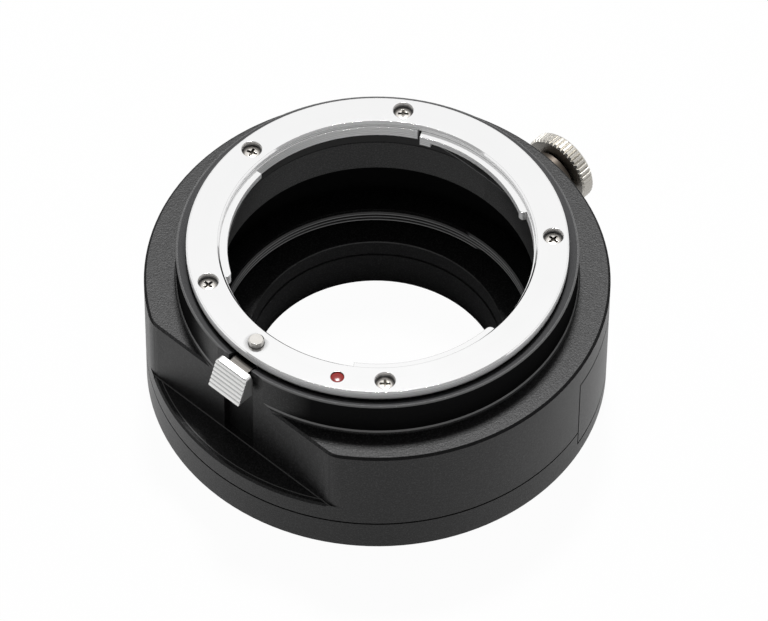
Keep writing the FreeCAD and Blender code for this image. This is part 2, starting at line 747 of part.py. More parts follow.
# Release arm: flat plate below the ring, bent down behind the tab
release_arm = new_body("release_arm")
tab_foot = arm_top + tab_top_rise - tab_height
arm_outline = polygon(new_sketch(release_arm, "XZ_Plane"), [
    (-arm_end, arm_top),
    (-tab_back, arm_top),
    (-tab_back, tab_foot),
    (-leg_inner, tab_foot),
    (-leg_inner, arm_bottom),
    (-arm_end, arm_bottom),
])
extrude(release_arm, arm_outline, arm_width, both_ways=True)
drill(release_arm, [(-pin_circle, 0, pin_stem + press_gap)], arm_top, arm_thickness)


def rivet_along_x(body, radius, start, end, cut):
    """Round piece or hole along X at the height of the tab's rivet."""
    kind = "PartDesign::SubtractiveCylinder" if cut else "PartDesign::AdditiveCylinder"
    feature = body.newObject(kind, "rivet_shape")
    height = arm_top - rivet_drop
    feature.Placement = FreeCAD.Placement(V(start.value, 0, height.value), FreeCAD.Rotation(V(0, 1, 0), 90))
    feature.setExpression("Placement.Base.x", start.text)
    feature.setExpression("Placement.Base.z", height.text)
    feature.setExpression("Radius", radius.text)
    feature.setExpression("Height", (end - start).text)
    return feature


rivet_tip = -tab_back - rivet_reach
rivet_along_x(release_arm, rivet_radius + press_gap, -tab_back, -leg_inner, True)

# Release tab: wedge with ribs across its sloping front
release_tab = new_body("release_tab")
tab_top = arm_top + tab_top_rise
tab_corners = [(-tab_back, tab_foot), (-tab_back, tab_top), (-tab_back - tab_top_depth, tab_top)]
slope = tab_depth - tab_top_depth
for k in range(rib_count):
    for part, sink in ((0.0, 0.7), (0.2, 0.15), (0.5, 0.0), (0.8, 0.15), (1.0, 0.7)):
        share = (k + part) / rib_count
        run = tab_top_depth + slope * share - rib_depth * sink
        tab_corners.append((-tab_back - run, tab_top - rib_depth * 0.5 - (tab_height - rib_depth) * share))
    tab_corners.pop()
tab_corners.append((-tab_back - tab_depth + rib_depth * 0.7, tab_foot))
extrude(release_tab, polygon(new_sketch(release_tab, "XZ_Plane"), tab_corners), tab_width, both_ways=True)
tab_half = tab_width * 0.5
corner_spots = [
    (tab_half - tab_corner, tab_top - tab_corner, 0),
    (tab_corner - tab_half, tab_top - tab_corner, 90),
    (tab_corner - tab_half, tab_foot + tab_corner, 180),
    (tab_half - tab_corner, tab_foot + tab_corner, 270),
]
CORNER_STEPS = 3
rounded = []
for y, z, first_angle in corner_spots:
    for k in range(CORNER_STEPS + 1):
        bend = math.radians(first_angle + 90 * k / CORNER_STEPS)
        rounded.append((y + tab_corner * math.cos(bend), z + tab_corner * math.sin(bend)))
trim = new_sketch(release_tab, "YZ_Plane", -tab_back)
polygon(trim, rectangle(-tab_width, tab_width, tab_foot - overcut, tab_top + overcut))
polygon(trim, rounded)
extrude(release_tab, trim, tab_depth + overcut, cut=True)
rivet_along_x(release_tab, rivet_radius + press_gap, rivet_tip, -tab_back, True)

# Rivet that joins the tab to the arm, its head lying in the flat's groove
tab_rivet = new_body("tab_rivet")
rivet_along_x(tab_rivet, rivet_radius, rivet_tip, -leg_inner, False)
rivet_along_x(tab_rivet, rivet_head, -leg_inner, -leg_inner + rivet_head_thickness, False)

# Lock pin with a stem through the arm
lock_pin = new_body("lock_pin")
pin_top = flange_height + pin_rise
turn(lock_pin, [
    (0, arm_top - pin_stem_length),
    (pin_stem, arm_top - pin_stem_length),
    (pin_stem, arm_top),
    (pin_radius, arm_top),
    (pin_radius, pin_top - pin_edge),
    (pin_radius - pin_edge, pin_top),
    (0, pin_top),
])

# Washer between the arm and the spring
pin_washer = new_body("pin_washer")
turn(pin_washer, rectangle(pin_stem + press_gap, washer_radius, washer_bottom, arm_bottom))

# Coil spring that pushes the lock pin up
lock_spring = new_body("lock_spring")
wire = circles(new_sketch(lock_spring, "XZ_Plane"), [(spring_radius, spring_floor + spring_wire, spring_wire)])
coil = lock_spring.newObject("PartDesign::AdditiveHelix", "coil")
coil.Profile = wire
coil.ReferenceAxis = (datum(lock_spring, "Z_Axis"), [""])
coil.Mode = "pitch-height-angle"
coil.setExpression("Pitch", spring_pitch.text)
coil.setExpression("Height", (washer_bottom - spring_floor - spring_wire * 2).text)
for piece in (lock_pin, pin_washer, lock_spring):
    piece.Placement = FreeCAD.Placement(V(-pin_circle.value, 0, 0), FreeCAD.Rotation())
    piece.setExpression("Placement.Base.x", (-pin_circle).text)
doc.recompute()

group("base_screws", base_screw,
      [polar(base_screw_circle, angle) + (angle,) for angle in base_screw_angles])
group("bayonet_screws", ring_screw,
      [polar(ring_screw_circle, angle) + (angle,) for angle in ring_screw_angles])
doc.recompute()

for item in doc.Objects:
    if "Invalid" in item.State or "Error" in item.State:
        raise RuntimeError(f"{item.Name}: {item.State}")
for name, node in NODES.items():
    if node.Shape.isNull() or not node.Shape.isValid() or not node.Shape.Solids:
        raise RuntimeError(f"{name} has no valid solid")
    node.Shape.exportStep(f"parts/{name}.step")
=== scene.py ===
import json
import math

import bmesh
import bpy
from bpy.props import FloatProperty, FloatVectorProperty, IntProperty, PointerProperty
from mathutils import Matrix, Vector


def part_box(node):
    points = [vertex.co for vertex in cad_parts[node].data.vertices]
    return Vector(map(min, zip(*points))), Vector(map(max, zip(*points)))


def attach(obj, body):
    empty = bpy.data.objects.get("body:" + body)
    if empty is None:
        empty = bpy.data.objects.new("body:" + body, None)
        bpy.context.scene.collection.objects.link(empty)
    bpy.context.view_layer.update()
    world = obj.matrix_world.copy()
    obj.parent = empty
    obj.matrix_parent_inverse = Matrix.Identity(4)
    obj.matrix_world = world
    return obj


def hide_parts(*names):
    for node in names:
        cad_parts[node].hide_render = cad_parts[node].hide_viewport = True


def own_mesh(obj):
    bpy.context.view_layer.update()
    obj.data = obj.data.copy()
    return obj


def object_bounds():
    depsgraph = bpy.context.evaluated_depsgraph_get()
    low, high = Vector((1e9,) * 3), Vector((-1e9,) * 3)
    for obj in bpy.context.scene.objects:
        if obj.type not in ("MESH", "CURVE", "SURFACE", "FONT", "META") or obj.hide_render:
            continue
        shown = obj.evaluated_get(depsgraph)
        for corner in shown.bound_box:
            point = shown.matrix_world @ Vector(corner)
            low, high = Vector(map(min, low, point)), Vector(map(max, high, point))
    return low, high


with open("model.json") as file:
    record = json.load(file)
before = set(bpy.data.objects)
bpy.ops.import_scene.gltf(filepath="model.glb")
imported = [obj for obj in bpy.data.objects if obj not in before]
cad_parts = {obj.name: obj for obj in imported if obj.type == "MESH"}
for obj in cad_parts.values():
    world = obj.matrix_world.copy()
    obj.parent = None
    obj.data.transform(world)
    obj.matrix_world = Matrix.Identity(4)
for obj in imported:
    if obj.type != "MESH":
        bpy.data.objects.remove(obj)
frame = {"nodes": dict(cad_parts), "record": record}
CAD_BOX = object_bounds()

bl_info = {
    "name": "Filter drawer",
    "version": (1, 0, 0),
    "blender": (4, 5, 0),
    "location": "View3D > Sidebar > Filter drawer",
    "description": "Gives the packed filter drawer its finishes, threads, screws and studio",
    "category": "Object",
}

MM = 0.001
NODES = frame["nodes"]
MOUNTS = {mount["name"]: mount for mount in frame["record"]["mounts"]}
WELL = MOUNTS["filter_thread"]
WELL_RADIUS = WELL["dims"]["r_mm"] * MM
WELL_LENGTH = WELL["dims"]["length_mm"] * MM
WELL_MIDDLE = WELL["pos_m"][2]
SCREWS_LOW, SCREWS_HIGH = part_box("bayonet_screws")
DOT_LOW, DOT_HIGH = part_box("index_dot")
SPRING_LOW, SPRING_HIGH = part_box("lock_spring")
JOINTS = {joint["name"]: joint for joint in frame["record"]["behaviour"]["joints"]}
RELEASE_TRAVEL = JOINTS["release_slide"]["range_m"][1]

WHITE = (1.0, 1.0, 1.0, 1.0)
BLACK = (0.0, 0.0, 0.0, 1.0)
MERGE_DISTANCE = 1e-7
LATHE_MARKS = 5200.0  # turning marks in a metre

# Where the black finish changes: radii from the optical axis, heights from the camera seat, places along X,
# and slopes as the upward part of a face's normal. A band has its low end, its high end and its blur.
NECK_SLOPE_RADII = (34.15 * MM, 34.57 * MM, 0.03 * MM)
NECK_SLOPES = (0.44, 0.60, 0.05)
MOUTH_RADII = (22.18 * MM, 22.37 * MM, 0.02 * MM)
MOUTH_SLOPES = (0.62, 0.78, 0.05)
CAVITY_RADII = (28.6 * MM, 36.6 * MM, 0.05 * MM)
NECK_WALL_RADII = (34.0 * MM, 34.62 * MM, 0.02 * MM)
NECK_WALL_HEIGHTS = (25.0 * MM, 31.0 * MM, 0.05 * MM)
RIM_RADII = (39.58 * MM, 40.05 * MM, 0.02 * MM)
# SEAT_RADII and SEAT_LOW mark the seat below the ring. It gets painted light in place of the light that the
# ring's shadow keeps off it.
SEAT_RADII = (32.6 * MM, 34.2 * MM, 0.02 * MM)
LEDGE_HEIGHTS = (10.2 * MM, 10.6 * MM, 0.05 * MM)
# ROUND_LINE and STRAIGHT_LINE mark two painted highlight lines on the ledge below the flat.
ROUND_LINE = (38.85 * MM, 39.0 * MM, 0.04 * MM)
STRAIGHT_LINE = (-34.24 * MM, -34.06 * MM, 0.04 * MM)
# A step has its start and its end.
TUBE_EDGE = (22.24 * MM, 22.26 * MM)
CAVITY_TOP = (19.4 * MM, 19.5 * MM)
CAVITY_END = (-28.0 * MM, -27.0 * MM)
NECK_WALL_FADE = (-33.9 * MM, -31.4 * MM)
RIM_LOW = (10.6 * MM, 10.8 * MM)
SEAT_LOW = (30.3 * MM, 30.4 * MM)
# Inside HUB_EDGE the chrome gets no painted corner shade.
HUB_EDGE = (28.0 * MM, 28.4 * MM)
UPRIGHT_FACE = (0.2, 0.35)
LEVEL_FACE = (0.8, 0.9)
OUTER_FACE = (0.88, 0.95)
RIM_SHARE = 0.75

CREST_WEAR = (0.06 * MM, 0.16 * MM)  # where a thread's wear starts to fade and ends, from its crest
THREAD_MARGIN = 0.52  # share of the ridge's foot that is kept from each end of the well
DOT_RISE = 0.22 * MM
DOT_SHOULDER = 0.6  # share of the rise by which the dome's edge lies below the node's top
DOT_DOME_STEPS = 8
DOT_STEPS = 48
SCREW_HEAD_HEIGHT = 0.5 * MM
SCREW_DOME_STEPS = 12
# Each ring screw's place round the optical axis and the turn of its cross, in degrees.
RING_SCREWS = ((34.35, 41.0), (89.15, 20.0), (149.75, -4.0), (225.25, 42.0), (315.85, -2.0))


def length(label, note, default):
    """Property that holds a length in metres."""
    return FloatProperty(name=label, description=note, default=default, min=0.0, precision=6,
                         subtype="DISTANCE", unit="LENGTH")


def angle(label, note, degrees):
    """Property that holds an angle, given here in degrees."""
    return FloatProperty(name=label, description=note, default=math.radians(degrees), subtype="ANGLE",
                         unit="ROTATION")


def share(label, note, default):
    """Property that holds a share from nothing to all."""
    return FloatProperty(name=label, description=note, default=default, min=0.0, max=1.0, subtype="FACTOR")


def colour(label, note, default):
    """Property that holds a colour."""
    return FloatVectorProperty(name=label, description=note, default=default, min=0.0, max=1.0, size=3,
                               subtype="COLOR")


class FinishColours(bpy.types.PropertyGroup):
    """Colours of the finishes."""

    anodised: colour("Anodised black", "Body and drawer", (0.0020, 0.0020, 0.0022))
    anodised_fleck: colour("Anodised fleck", "Bright grains of the blasted surface", (0.032, 0.032, 0.033))
    # The tube colour, 1.6 times brighter, is also painted on the seat below the ring as painted light.
    tube: colour("Tube", "Matt black in the light bore", (0.040, 0.040, 0.041))
    # Bright slope, twice as bright, is also painted as highlight lines on the ledge below the flat.
    bright_slope: colour("Bright slope", "Turned slopes at the neck's edge and foot", (0.12, 0.12, 0.12))
    lacquer: colour("Black lacquer", "Backing ring", (0.0025, 0.0025, 0.0025))
    chrome: colour("Satin chrome", "Bayonet ring", (0.88, 0.88, 0.88))
    steel: colour("Bright steel", "Ring screws", (0.70, 0.67, 0.63))
    black_steel: colour("Blackened steel", "Base screws", (0.030, 0.030, 0.031))
    spring: colour("Spring steel", "Leaf springs", (0.10, 0.10, 0.10))
    enamel: colour("Red enamel", "Index dot", (0.36, 0.030, 0.027))
    nickel: colour("Nickel", "Thumbscrew", (0.52, 0.50, 0.46))
    collar: colour("Dark collar", "Collar of the thumbscrew", (0.105, 0.090, 0.076))
    silver: colour("Satin silver", "Release tab", (0.84, 0.84, 0.83))
    arm: colour("Arm steel", "Release arm", (0.13, 0.122, 0.113))
    pin: colour("Pin steel", "Lock pin", (0.64, 0.62, 0.59))
    floor: colour("Floor", "Pale studio floor", (0.90, 0.90, 0.90))


class ThreadSizes(bpy.types.PropertyGroup):
    """Sizes of the filter thread in the drawer's well."""

    pitch: length("Pitch", "Rise of the thread in one turn", 0.75 * MM)
    height: length("Height", "Height of the ridge above the well's wall", 0.42 * MM)
    sink: length("Sink", "Depth by which the ridge's foot lies in the wall", 0.12 * MM)
    crest: share("Crest", "Width of the crest as a share of the pitch", 0.10)
    foot: share("Foot", "Width of the foot as a share of the pitch", 0.94)
    steps: IntProperty(name="Steps", description="Sections of the ridge in one turn", default=144, min=24)


class ScrewSizes(bpy.types.PropertyGroup):
    """Sizes of the cross-head screws of the bayonet ring."""

    circle: length("Circle", "Distance of the screws from the optical axis", 30.0 * MM)
    head: length("Head", "Radius of the head", 1.6 * MM)
    edge: length("Edge", "Height of the head's upright rim", 0.24 * MM)
    dome: length("Dome", "Rise of the dome above the rim", 0.24 * MM)
    shank: length("Shank", "Radius of the shank", 0.9 * MM)
    cross_length: length("Cross length", "Length of the cross at its top", 2.1 * MM)
    cross_width: length("Cross width", "Width of the cross at its top", 0.52 * MM)
    cross_depth: length("Cross depth", "Depth of the cross", 0.80 * MM)
    cross_taper: share("Cross taper", "Size of the cross at its bottom as a share of its top", 0.66)
    steps: IntProperty(name="Steps", description="Sections of the head in one turn", default=64, min=16)


class StageSizes(bpy.types.PropertyGroup):
    """Sizes of the studio and the camera."""

    floor_size: length("Floor size", "Width of the floor", 6.0)
    floor_white: share("Floor white", "Share of plain white that the floor shows", 0.97)
    floor_gloss: share("Floor gloss", "Share of plain white that the floor gives to reflections", 0.85)
    ambient: share("Ambient", "Level of the soft light from all round", 0.12)
    lamp_power: FloatProperty(name="Lamp power", description="Power of the lamp in watts", default=20.0,
                              min=0.0, unit="POWER")
    lamp_size: length("Lamp size", "Width of the lamp", 0.26)
    lamp_distance: length("Lamp distance", "Distance of the lamp from the object", 1.5)
    lamp_azimuth: angle("Lamp azimuth", "Direction of the lamp round the object", 132.35)
    lamp_elevation: angle("Lamp elevation", "Height of the lamp above the horizon", 67.0)
    card_distance: length("Card distance", "Distance of the grey card from the object", 0.8)
    card_half: angle("Card half width", "Half of the angle that the grey card covers round the object", 70.0)
    card_low: angle("Card low edge", "Height of the card's lower edge above the horizon", 18.0)
    card_high: angle("Card high edge", "Height of the card's upper edge above the horizon", 58.0)
    card_tone: share("Card tone", "Brightness of the grey card", 0.40)
    camera_distance: length("Camera distance", "Distance of the camera from its target", 1.1421)
    camera_azimuth: angle("Camera azimuth", "Direction of the camera round the object", -47.65)
    camera_elevation: angle("Camera elevation", "Height of the camera above the horizon", 51.03)
    camera_roll: angle("Camera roll", "Turn of the camera about its own axis", 0.617)
    camera_target: FloatVectorProperty(name="Camera target", description="Point that the camera looks at",
                                       default=(0.8777 * MM, -0.8432 * MM, 14.4854 * MM), size=3,
                                       subtype="TRANSLATION", unit="LENGTH")
    focal_length: FloatProperty(name="Focal length", description="Focal length in millimetres", default=310.4,
                                unit="CAMERA")


class FilterDrawerSettings(bpy.types.PropertyGroup):
    """All settings of the filter drawer."""

    colours: PointerProperty(type=FinishColours, name="Colours", description="Colours of the finishes")
    thread: PointerProperty(type=ThreadSizes, name="Filter thread", description="Sizes of the filter thread")
    screw: PointerProperty(type=ScrewSizes, name="Ring screws", description="Sizes of the ring screws")
    stage: PointerProperty(type=StageSizes, name="Stage", description="Sizes of the studio")


class Field:
    """A socket of a node tree. Operators on it add Math nodes, and node() adds any other node."""

    def __init__(self, tree, socket=None):
        self.tree = tree
        self.socket = socket

    def node(self, kind, settings=None, sockets=None, output=0):
        """Adds a node: its settings come first, then the values or links of its sockets."""
        made = self.tree.nodes.new(kind)
        for name, value in (settings or {}).items():
            setattr(made, name, value)
        for key, item in (sockets or {}).items():
            if isinstance(item, Field):
                self.tree.links.new(item.socket, made.inputs[key])
            else:
                made.inputs[key].default_value = item
        return Field(self.tree, made.outputs[output] if made.outputs else None)

    def math(self, operation, first, second):
        """Adds a Math node."""
        return self.node("ShaderNodeMath", {"operation": operation}, {0: first, 1: second})

    def __add__(self, other):
        return self.math("ADD", self, other)

    def __radd__(self, other):
        return self.math("ADD", other, self)

    def __sub__(self, other):
        return self.math("SUBTRACT", self, other)

    def __rsub__(self, other):
        return self.math("SUBTRACT", other, self)

    def __mul__(self, other):
        return self.math("MULTIPLY", self, other)

    def __rmul__(self, other):
        return self.math("MULTIPLY", other, self)

    def __pow__(self, other):
        return self.math("POWER", self, other)

    def most(self, other):
        """The larger of two values."""
        return self.math("MAXIMUM", self, other)

    def band(self, low, high, blur):
        """One from low to high, and nought a blur's width outside."""
        return self.between(low - blur, low) * (1.0 - self.between(high, high + blur))

    def between(self, low, high):
        """Spreads the values from low to high over nought to one, clamped."""
        return self.node("ShaderNodeMapRange", {"clamp": True}, {0: self, 1: low, 2: high})


def rgba(values):
    """Colour with full opacity."""
    return (*values, 1.0)


def blank_material(name):
    """New material with an empty tree, and the field that builds in it."""
    material = bpy.data.materials.new(name)
    material.use_nodes = True
    material.node_tree.nodes.clear()
    return material, Field(material.node_tree)


def close(field, sockets):
    """Ends a material with its shader."""
    shader = field.node("ShaderNodeBsdfPrincipled", {}, sockets)
    field.node("ShaderNodeOutputMaterial", {}, {"Surface": shader})


def place_of(field):
    """Position on the piece."""
    return field.node("ShaderNodeTexCoord", output="Object")


def noise(field, place, scale, detail=2.0, rough=0.5):
    """Soft random field with about scale cells in a metre."""
    return field.node("ShaderNodeTexNoise", {"noise_dimensions": "3D"},
                      {"Vector": place, "Scale": scale, "Detail": detail, "Roughness": rough})


def lines(field, along, scale, detail=2.0):
    """Random field that changes along one value only, as the marks of a cutting tool do."""
    return field.node("ShaderNodeTexNoise", {"noise_dimensions": "1D"},
                      {"W": along, "Scale": scale, "Detail": detail, "Roughness": 0.6})


def mix(field, factor, first, second):
    """Colour between two colours."""
    return field.node("ShaderNodeMix", {"data_type": "RGBA"}, {0: factor, 6: first, 7: second}, 2)


def shade(tint, part):
    """A darker or lighter form of a colour, with full opacity."""
    return rgba([min(1.0, value * part) for value in tint])


def soft_edges(field, radius):
    """Normal that is rounded at the edges."""
    return field.node("ShaderNodeBevel", {"samples": 6}, {"Radius": radius})


def edge_mask(field, rounded):
    """One at the edges and nought on the faces."""
    normal = field.node("ShaderNodeNewGeometry", output="Normal")
    along = field.node("ShaderNodeVectorMath", {"operation": "DOT_PRODUCT"}, {0: rounded, 1: normal}, "Value")
    return (1.0 - along).between(0.01, 0.16)


def openness(field, reach):
    """One on open faces, falling to nought in corners and narrow hollows. Where it darkens a colour, it
    paints shade.
    """
    return field.node("ShaderNodeAmbientOcclusion", {"samples": 8}, {"Distance": reach}, "AO")


def bump(field, height, strength, distance, normal):
    """Normal moved by a height."""
    return field.node("ShaderNodeBump", {}, {"Strength": strength, "Distance": distance, "Height": height,
                                             "Normal": normal})


def part_along(field, vector, axis):
    """One part of a position or a direction."""
    return field.node("ShaderNodeSeparateXYZ", {}, {0: vector}, axis)


def upward(field):
    """One on faces that look up, nought on upright walls."""
    return part_along(field, field.node("ShaderNodeTexCoord", output="Normal"), "Z")


def distance_from(field, place, axis):
    """Distance from the optical axis (Z), or from a line along X."""
    first, second = [part_along(field, place, name) for name in "XYZ" if name != axis]
    return (first * first + second * second) ** 0.5


def outward(field, place, radius):
    """One on faces that look away from the optical axis, nought on level faces and on a seam's sides."""
    normal = field.node("ShaderNodeTexCoord", output="Normal")
    along = [part_along(field, place, axis) * part_along(field, normal, axis) for axis in "XY"]
    return (along[0] + along[1]) * radius ** -1.0


def light_path(field):
    """Whether a ray comes from the camera, from a reflection or through something clear."""
    camera = field.node("ShaderNodeLightPath", output="Is Camera Ray")
    outputs = camera.socket.node.outputs
    glossy = Field(field.tree, outputs["Is Glossy Ray"])
    clear = Field(field.tree, outputs["Is Transmission Ray"])
    return camera, glossy, clear


def bright_slopes(radius, level):
    """Slopes that the lathe left bright: those of the neck, and the one at the tube's mouth."""
    neck = radius.band(*NECK_SLOPE_RADII) * level.band(*NECK_SLOPES)
    mouth = radius.band(*MOUTH_RADII) * level.band(*MOUTH_SLOPES)
    return neck, mouth


def matt_walls(field, place, radius, level, body):
    """Walls that stay matt: the drawer's cavity in the body, the neck's wall and the rims of the seams."""
    height = part_along(field, place, "Z")
    across = part_along(field, place, "X")
    cavity = radius.band(*CAVITY_RADII) * (1.0 - height.between(*CAVITY_TOP))
    cavity = cavity * across.between(*CAVITY_END) * body
    neck = radius.band(*NECK_WALL_RADII) * (1.0 - level.between(*UPRIGHT_FACE))
    neck = neck * height.band(*NECK_WALL_HEIGHTS) * across.between(*NECK_WALL_FADE)
    rims = radius.band(*RIM_RADII) * (1.0 - outward(field, place, radius).between(*OUTER_FACE))
    rims = rims * height.between(*RIM_LOW)
    return cavity + neck + rims * RIM_SHARE


def painted_seat_light_and_line_highlights(field, place, radius, level, body):
    """Painted light on the seat below the bayonet ring, and two painted highlight lines on the ledge below
    the flat.
    """
    height = part_along(field, place, "Z")
    across = part_along(field, place, "X")
    seat = radius.band(*SEAT_RADII) * height.between(*SEAT_LOW)
    ledge = height.band(*LEDGE_HEIGHTS) * level.between(*LEVEL_FACE) * body
    # Painted highlights: two thin lines on the ledge below the flat.
    line_highlights = (radius.band(*ROUND_LINE) + across.band(*STRAIGHT_LINE)) * ledge
    return seat, line_highlights


def anodised_black(name, colours, body):
    """Black anodised aluminium, bead blasted, with bright turned slopes, matt walls inside, painted light on
    the seat below the ring and painted highlight lines on the ledge.

    body is one on the body and the base plate, and nought on the drawer, which has no cavity and no ledge.
    """
    material, field = blank_material(name)
    place = place_of(field)
    radius = distance_from(field, place, "Z")
    level = upward(field)
    neck, mouth = bright_slopes(radius, level)
    tube = 1.0 - radius.between(*TUBE_EDGE)
    inside = tube - mouth + matt_walls(field, place, radius, level, body)
    seat, line_highlights = painted_seat_light_and_line_highlights(field, place, radius, level, body)
    rounded = soft_edges(field, 0.05 * MM)
    grain = noise(field, place, scale=3200.0, detail=2.0, rough=0.8)
    fleck = noise(field, place, scale=3600.0, detail=1.0, rough=0.6).between(0.45, 0.75)
    cloud = noise(field, place, scale=45.0, detail=3.0)
    normal = bump(field, grain, strength=1.0, distance=0.05 * MM, normal=rounded)
    plain = mix(field, fleck, rgba(colours.anodised), rgba(colours.anodised_fleck))
    # Painted light: the seat below the ring gets a lighter colour than the rest of the black.
    seat_painted_light = mix(field, seat, plain, shade(colours.tube, 1.6))
    # Painted highlights: the lines on the ledge get a colour twice as bright as the bright slopes.
    line_highlighted = mix(field, line_highlights, seat_painted_light, shade(colours.bright_slope, 2.0))
    flecked = mix(field, fleck, rgba(colours.tube), shade(colours.tube, 1.5))
    blasted = field.node("ShaderNodeBsdfPrincipled", {}, {
        "Base Color": mix(field, neck + mouth * 0.5, line_highlighted, rgba(colours.bright_slope)),
        "Metallic": neck + mouth,
        "Roughness": 0.34 + cloud * 0.06,
        "Specular IOR Level": 0.24,
        "Normal": normal,
    })
    matt = field.node("ShaderNodeBsdfPrincipled", {}, {
        "Base Color": mix(field, tube, shade(colours.tube, 0.3), flecked),
        "Roughness": 0.8,
        "Specular IOR Level": 0.0,
        "Normal": normal,
    })
    shader = field.node("ShaderNodeMixShader", {}, {0: inside, 1: blasted, 2: matt})
    field.node("ShaderNodeOutputMaterial", {}, {"Surface": shader})
    return material


def machined_black(name, colours, crest):
    """Black anodised aluminium as the lathe leaves it, worn bright on a thread's crests at one radius."""
    material, field = blank_material(name)
    place = place_of(field)
    start, end = [crest + wear for wear in CREST_WEAR]
    worn = 1.0 - distance_from(field, place, "Z").between(start, end)
    close(field, {
        "Base Color": mix(field, worn, rgba(colours.anodised), rgba(colours.bright_slope)),
        "Metallic": worn,
        "Roughness": 0.26 + noise(field, place, scale=900.0) * 0.06,
        "Specular IOR Level": 0.4,
        "Normal": soft_edges(field, 0.04 * MM),
    })
    return material


def black_lacquer(name, tint):
    """Smooth matt black paint."""
    material, field = blank_material(name)
    cloud = noise(field, place_of(field), scale=300.0, detail=2.0)
    close(field, {
        "Base Color": mix(field, cloud, rgba(tint), shade(tint, 1.6)),
        "Roughness": 0.42 + cloud * 0.06,
        "Specular IOR Level": 0.2,
        "Normal": soft_edges(field, 0.05 * MM),
    })
    return material


def satin_chrome(name, colours):
    """Satin chrome with the fine turning marks of a lathe, painted shade along its edges and painted shade in
    its corners.
    """
    material, field = blank_material(name)
    place = place_of(field)
    radius = distance_from(field, place, "Z")
    marks = lines(field, radius, LATHE_MARKS, detail=3.0)
    cloud = noise(field, place, scale=130.0, detail=3.0)
    rounded = soft_edges(field, 0.06 * MM)
    level = upward(field)
    walls = (1.0 - level * level).between(0.5, 0.95)
    feed = lines(field, part_along(field, place, "Z"), LATHE_MARKS, detail=2.0).between(0.42, 0.62)
    # Painted shade: the edges are darkened by up to six tenths towards black.
    rim = edge_mask(field, soft_edges(field, 0.16 * MM))
    bright = mix(field, feed * walls * 0.22 + rim * 0.6, rgba(colours.chrome), BLACK)
    # Painted shade: corners and narrow hollows outside the hub are darkened towards a quarter of the chrome's
    # colour. The hub gets none.
    hub = 1.0 - radius.between(*HUB_EDGE)
    close(field, {
        "Base Color": mix(field, openness(field, 1.0 * MM) ** 2.0 + hub, shade(colours.chrome, 0.25), bright),
        "Metallic": 1.0,
        "Roughness": 0.055 + marks * 0.04 + cloud * 0.015 + walls * 0.55,
        "Normal": bump(field, marks, strength=0.05, distance=0.02 * MM, normal=rounded),
    })
    return material


def bright_steel(name, tint, wear):
    """Bright steel with faint spots, stronger where it wears, and painted shade in its hollows."""
    material, field = blank_material(name)
    place = place_of(field)
    cloud = noise(field, place, scale=1600.0, detail=3.0)
    rounded = soft_edges(field, 0.06 * MM)
    close(field, {
        # Painted shade: hollows such as the screws' crosses are darkened to 0.3 of the tint. The spots
        # subtracted from it are wear.
        "Base Color": mix(field, openness(field, 0.6 * MM) - cloud.between(0.35, 0.75) * wear,
                          shade(tint, 0.30), rgba(tint)),
        "Metallic": 1.0,
        "Roughness": 0.08 + cloud * 0.12,
        "Normal": bump(field, cloud, strength=0.08, distance=0.02 * MM, normal=rounded),
    })
    return material


def blackened_steel(name, tint):
    """Blackened steel, smoother than the body and brighter at its edges."""
    material, field = blank_material(name)
    place = place_of(field)
    cloud = noise(field, place, scale=700.0, detail=3.0)
    rounded = soft_edges(field, 0.05 * MM)
    edge = edge_mask(field, rounded)
    close(field, {
        "Base Color": mix(field, edge * 0.8, rgba(tint), shade(tint, 4.0)),
        "Metallic": 0.6,
        "Roughness": 0.30 + cloud * 0.12,
        "Normal": bump(field, cloud, strength=0.06, distance=0.02 * MM, normal=rounded),
    })
    return material


def red_enamel(name, tint):
    """Glossy enamel, a little uneven in colour and gloss."""
    material, field = blank_material(name)
    cloud = noise(field, place_of(field), scale=1500.0, detail=2.0)
    close(field, {
        "Base Color": mix(field, cloud, rgba(tint), shade(tint, 0.7)),
        "Roughness": 0.16 + cloud * 0.08,
        "Specular IOR Level": 0.3,
    })
    return material


def turned_metal(name, tint, rough, middle):
    """Turned metal with marks round a line along X at a height."""
    material, field = blank_material(name)
    place = field.node("ShaderNodeMapping", {}, {"Vector": place_of(field), "Location": (0.0, 0.0, -middle)})
    radius = distance_from(field, place, "X")
    marks = lines(field, radius, LATHE_MARKS, detail=2.0)
    cloud = noise(field, place, scale=600.0, detail=3.0)
    rounded = soft_edges(field, 0.08 * MM)
    darker = marks.between(0.35, 0.65) * 0.7 + cloud * 0.3 - edge_mask(field, rounded) * 0.4
    close(field, {
        "Base Color": mix(field, darker, rgba(tint), shade(tint, 0.82)),
        "Metallic": 1.0,
        "Roughness": rough + marks * 0.08 + cloud * 0.08,
        "Normal": bump(field, marks, strength=0.06, distance=0.02 * MM, normal=rounded),
    })
    return material


def satin_silver(name, tint):
    """Satin silver with fine lines along the tab's ribs, and painted shade in its hollows, such as between
    the ribs.
    """
    material, field = blank_material(name)
    place = field.node("ShaderNodeMapping", {}, {"Vector": place_of(field), "Scale": (1.0, 0.06, 1.0)})
    brushed = noise(field, place, scale=3200.0, detail=3.0)
    rounded = soft_edges(field, 0.10 * MM)
    close(field, {
        # Painted shade: hollows such as the grooves between the ribs are darkened towards 0.2 of the tint.
        "Base Color": mix(field, openness(field, 0.5 * MM) ** 2.0 - brushed.between(0.3, 0.8) * 0.1,
                          shade(tint, 0.2), rgba(tint)),
        "Metallic": 1.0,
        "Roughness": 0.30 + brushed * 0.14 - upward(field).between(0.85, 0.95) * 0.18,
        "Normal": bump(field, brushed, strength=0.10, distance=0.02 * MM, normal=rounded),
    })
    return material


